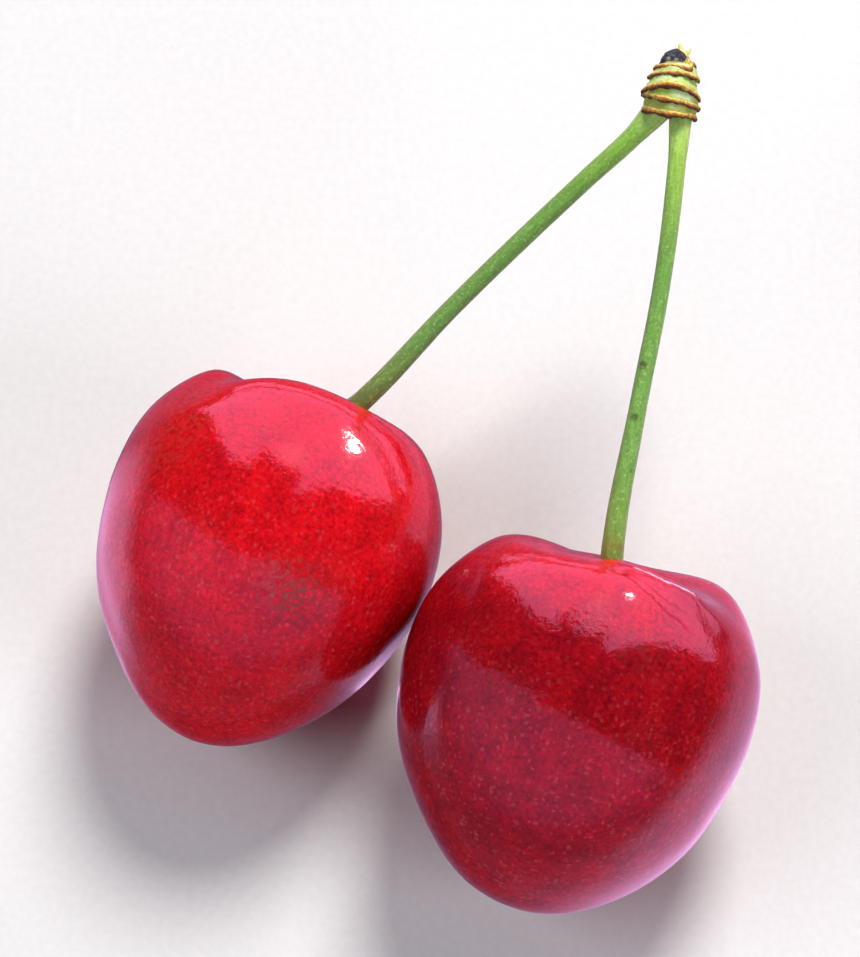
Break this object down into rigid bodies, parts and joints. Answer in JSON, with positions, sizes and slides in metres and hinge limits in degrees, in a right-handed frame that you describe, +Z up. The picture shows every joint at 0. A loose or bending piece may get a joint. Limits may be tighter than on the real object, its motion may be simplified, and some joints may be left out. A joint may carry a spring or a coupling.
{
  "type": "pair of cherries",
  "caption": "Sweet cherries joined by their stalks under one scaly bud knob, lying on their sides with the stalks rising away from the surface.",
  "frame": {"origin": "on the surface the fruit lie on, under the middle of the pair's outline seen from above", "axes": "+Z up from the surface, +Y away from the fruit towards the knob, +X to the right of the right-hand cherry as seen with the knob pointing away"},
  "size_m": [0.0454, 0.0568, 0.0261],
  "materials": {
    "left_cherry_skin": "glossy red fruit skin with fine pale dots",
    "right_cherry_skin": "glossy deep red fruit skin with fine pale dots",
    "left_stalk_green": "soft green, finely grained",
    "right_stalk_green": "soft green, finely grained",
    "spur_green": "pale green plant tissue",
    "bud_scale": "pale green with brown corky rims",
    "withered_black": "dull blue-black, wrinkled",
    "fibre_yellow": "pale yellow torn fibre"
  },
  "bodies": {
    "root": {"left_cherry": "left_cherry_skin", "right_cherry": "right_cherry_skin", "left_stalk": "left_stalk_green", "right_stalk": "right_stalk_green", "spur_core": "spur_green", "bud_scale_1": "bud_scale", "bud_scale_2": "bud_scale", "bud_scale_3": "bud_scale", "bud_scale_4": "bud_scale", "bud_scale_5": "bud_scale", "withered_tip": "withered_black", "torn_fibre": "fibre_yellow"}
  },
  "joints": []
}
